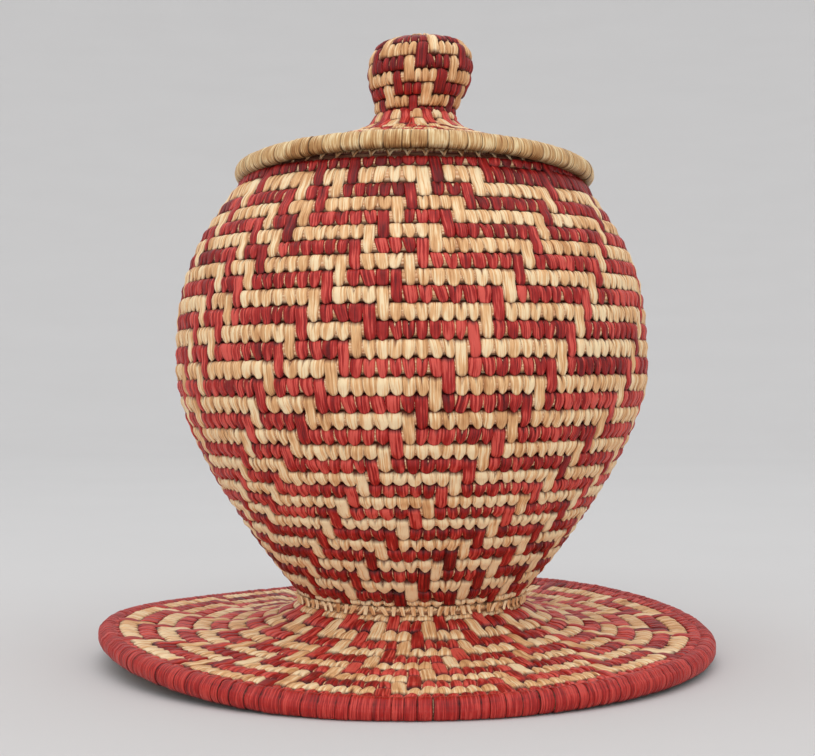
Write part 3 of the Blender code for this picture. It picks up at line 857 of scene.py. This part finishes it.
# The mouth rim. A thin undyed bundle finishes the last turn of the wall, sewn down with forked stitches that
# spread in a V from one hole. A second one under it fills the gap above the wall's last turn.
MOUTH_RIM_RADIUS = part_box("mouth_rim")[1].x - 1.5 * MM
MOUTH_RIM_HEIGHT = (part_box("mouth_rim")[0].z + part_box("mouth_rim")[1].z) / 2
FILLING_RADIUS = 62.4 * MM
FORKS = 63
FORK_LEANS = (2.2 * MM, -2.0 * MM)
mouth_wraps = wraps(
    MOUTH_RIM_RADIUS - 0.6 * MM,
    MOUTH_RIM_HEIGHT,
    1.5 * MM,
    1.5 * MM,
    strip_width=3.6 * MM,
    slant=1.6 * MM,
    thick=0.4 * MM,
    seed=61,
    spread=0.25,
    # Painted shade: the wraps are painted dark below, as in the shadow under the lid rim.
    underside_shade=(1.6, 0.75),
)
keep(strips_piece("mouth_rim_wraps", undyed_leaf, [mouth_wraps]), "vessel", "mouth_rim")
filling_height = MOUTH_RIM_HEIGHT - 2.3 * MM
# Painted shade: the filling bundle is painted dark, as in the shadow under the lid rim.
mouth_bundle = ring_core(
    "mouth_rim_grass_bundle", FILLING_RADIUS, filling_height, 1.9 * MM, 2.2 * MM, shade_level=0.85
)
keep(mouth_bundle, "vessel", "mouth_rim")
fork_points = [np.array(point) * MM for point in ((65.3, 185.2), (64.2, 186.4), (63.2, 188.7), (61.0, 188.6))]
fork_outline = Outline(curve(*fork_points, steps=14), out=1)
fork_angles = np.repeat(np.linspace(0, 2 * np.pi, FORKS + 1)[:-1], 2)
fork_leans = np.tile(FORK_LEANS, FORKS)
# Painted shade: the forks are painted dark by the extra shade, as in the shadow under the lid rim.
forks = straps(fork_outline, fork_angles, 1.1 * MM, fork_leans, 0.3 * MM, seed=62, steps=10, extra_shade=0.5)
forks_piece = strips_piece("mouth_rim_forked_stitches", undyed_leaf, [forks])
keep(forks_piece, "vessel", "mouth_rim")


# The lid rim. A round grass bundle bound in wide undyed strips edges the lid and rests on the mouth. The lid
# has dried a little out of true, so its rim dips at the sides and is pressed flatter in front.
LID_RIM_RADIUS = 66.3 * MM
LID_RIM_HEIGHT = 190.72 * MM
LID_RIM_HALF = 3.5 * MM
LID_SHIFT, LID_RIM_BACK = 1.4 * MM, 0.3 * MM  # to the right at the lid's middle, and how much less at its rim
LID_DIP, LID_TILT = 1.9 * MM, 0.3 * MM  # half of how far the sides dip, and how far it hangs to the right
LID_FLATTENED = 0.42  # share by which the rim's underside is pressed up in front
LID_STAINS = ((-38, 4), (-31, 3), (-4, 6), (38, 3))  # degrees to the right of the front, and width


def lid_bend(points):
    """The lid sits a little to the right. Its edge dips at the sides and is pressed flatter in front."""
    radius = np.hypot(points[..., 0], points[..., 1])
    reach = np.clip(radius / LID_RIM_RADIUS, 0, 1.1)
    angle = np.arctan2(points[..., 0], -points[..., 1])
    wave = (LID_DIP * (np.cos(2 * angle) - 1) - LID_TILT * np.sin(angle)) * reach**2
    flat = LID_FLATTENED * np.minimum(points[..., 2] - LID_RIM_HEIGHT, 0) * np.clip(np.cos(angle), 0, 1)
    shift = LID_SHIFT - LID_RIM_BACK * reach
    return np.stack([points[..., 0] + shift, points[..., 1], points[..., 2] + wave - flat], -1)


# Wide undyed leaf. To the eye its fibres are fine and close, it is yellower than the strips of the wall, with
# a soft shine, and hands have browned it in places.
rim_leaf = leaf_material(
    "undyed_rim_leaf", "#97612F", "#D6A971", "#F3DCAC", "#341707", roughness=0.45, ridges=2.8, variety=0.4
)
lid_wraps = wraps(
    LID_RIM_RADIUS,
    LID_RIM_HEIGHT - 0.2 * MM,
    LID_RIM_HALF,
    LID_RIM_HALF + 0.7 * MM,
    strip_width=3.8 * MM,
    slant=0.6 * MM,
    thick=0.3 * MM,
    seed=71,
    spread=0.34,
    front=1.5,
    # Painted shade: the lower side of the wraps is painted dark, as if shaded from the light above.
    underside_shade=(0.9, -0.25),
    stains=LID_STAINS,
    snug=(0.10, 0.97),
    bend=lid_bend,
)
keep(strips_piece("lid_rim_wraps", rim_leaf, [lid_wraps]), "lid", "lid_rim")
lid_core_half = LID_RIM_HALF - 0.65 * MM
lid_rim_bundle = ring_core(
    "lid_rim_grass_bundle", LID_RIM_RADIUS, LID_RIM_HEIGHT, lid_core_half, lid_core_half, lid_bend
)
keep(lid_rim_bundle, "lid", "lid_rim")


# The lid dome. A shallow coil runs from under the knob out to the rim in red and undyed turns, with long
# stitches that stand in rays.
LID_EDGE, LID_RISE = 2.6 * MM, 15.0 * MM  # from the rim's middle up to the lid's edge, and on to the knob
LID_SEAT = LID_RIM_HEIGHT + LID_EDGE + LID_RISE
LID_START = np.array([16.3 * MM, LID_SEAT + 2.9 * MM])
LID_END = np.array([LID_RIM_RADIUS - 1.2 * MM, LID_SEAT - 14.9 * MM])
LID_STAIRS = np.arange(12) * 30 + 8
LID_TURNS = 9
LID_THICKNESS, LID_SEAM, LID_STRIP = 5.2 * MM, 1.9 * MM, 0.7 * MM
down_from_knob = 8.0 * MM * heading(math.radians(-88))
out_to_rim = 38 * MM * heading(math.radians(-15))
lid_outline = Outline(curve(LID_START, LID_START + down_from_knob, LID_END - out_to_rim, LID_END), out=-1)
lid_coil = Coil(lid_outline, LID_TURNS, 0.0, turning=-1, bend=lid_bend)
lid_plan = stitch_plan(
    lid_coil, LID_STAIRS, 6, step=4.6 * MM, strip_width=4.4 * MM, red_at=1.5, seed=81, jog=6, tongue=0.5
)
bind("lid", "lid_dome", lid_coil, lid_plan, LID_THICKNESS, LID_SEAM, LID_STRIP, columns=110)


# The lid collar. A short upright coil of undyed strips under the lid drops inside the mouth and keeps the lid
# from sliding off.
COLLAR_TURNS = 3
COLLAR_STAIRS = np.arange(14) * 25.7
COLLAR_THICKNESS, COLLAR_SEAM, COLLAR_STRIP = 4.6 * MM, 1.5 * MM, 0.7 * MM
collar_low, collar_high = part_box("lid_collar")
collar_radius = collar_high.x + 0.2 * MM
collar_outline = Outline(np.array([[collar_radius, collar_low.z], [collar_radius, collar_high.z]]), out=1)
collar_coil = Coil(collar_outline, COLLAR_TURNS, 0.0, turning=1)
collar_plan = stitch_plan(
    collar_coil, COLLAR_STAIRS, 1, step=4.6 * MM, strip_width=4.7 * MM, red_at=0, seed=91
)
bind(
    "lid",
    "lid_collar",
    collar_coil,
    collar_plan,
    COLLAR_THICKNESS,
    COLLAR_SEAM,
    COLLAR_STRIP,
    columns=110,
    colours=("undyed",),
)


# The knob. One coil starts in the middle of its top and winds down to a narrow neck in red and undyed turns.
# It leans a little to the right, as sewn by hand, and its strips' tones are painted dark, as shade.
KNOB_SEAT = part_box("knob")[0].z
KNOB_TOP = np.array([1.4 * MM, KNOB_SEAT + 32.6 * MM])
KNOB_SIDE = np.array([20.7 * MM, KNOB_SEAT + 19.4 * MM])
KNOB_NECK = np.array([15.7 * MM, KNOB_SEAT + 0.2 * MM])
CROWN_HANDLE, CHEEK_HANDLE, NECK_HANDLE = (16.2 * MM, 0), (0, 8.5 * MM), (-0.4 * MM, 6.5 * MM)
KNOB_TURNS, KNOB_GROWTH = 9, -0.35
KNOB_SHIFT, KNOB_LEAN = 1.4 * MM, 0.1  # to the right at its seat, and for each unit of height above it
KNOB_STAIRS = (-12.0, 40.6, 102.0, 163.5, 225.0, 286.5)
KNOB_THICKNESS, KNOB_SEAM, KNOB_STRIP = 4.6 * MM, 1.6 * MM, 0.6 * MM
KNOB_SHADE_RED, KNOB_SHADE_UNDYED = 0.3, 0.65  # share of the strips' tones kept, painted dark as shade


def knob_bend(points):
    lean = KNOB_SHIFT + KNOB_LEAN * (points[..., 2] - KNOB_SEAT)
    return np.stack([points[..., 0] + lean, points[..., 1], points[..., 2]], -1)


knob_crown = curve(KNOB_TOP, KNOB_TOP + CROWN_HANDLE, KNOB_SIDE + CHEEK_HANDLE, KNOB_SIDE)
knob_cheek = curve(KNOB_SIDE, KNOB_SIDE - CHEEK_HANDLE, KNOB_NECK + NECK_HANDLE, KNOB_NECK)
knob_outline = Outline(np.concatenate([knob_crown, knob_cheek]), out=-1)
knob_coil = Coil(knob_outline, KNOB_TURNS, KNOB_GROWTH, turning=-1, bend=knob_bend)
knob_plan = stitch_plan(
    knob_coil, KNOB_STAIRS, 5, step=4.5 * MM, strip_width=3.2 * MM, red_at=4.5, seed=95, jog=3, tongue=0.5
)
knob_plan["tone"] = knob_plan["tone"] * np.where(knob_plan["red"], KNOB_SHADE_RED, KNOB_SHADE_UNDYED)
bind("lid", "knob", knob_coil, knob_plan, KNOB_THICKNESS, KNOB_SEAM, KNOB_STRIP, columns=72)
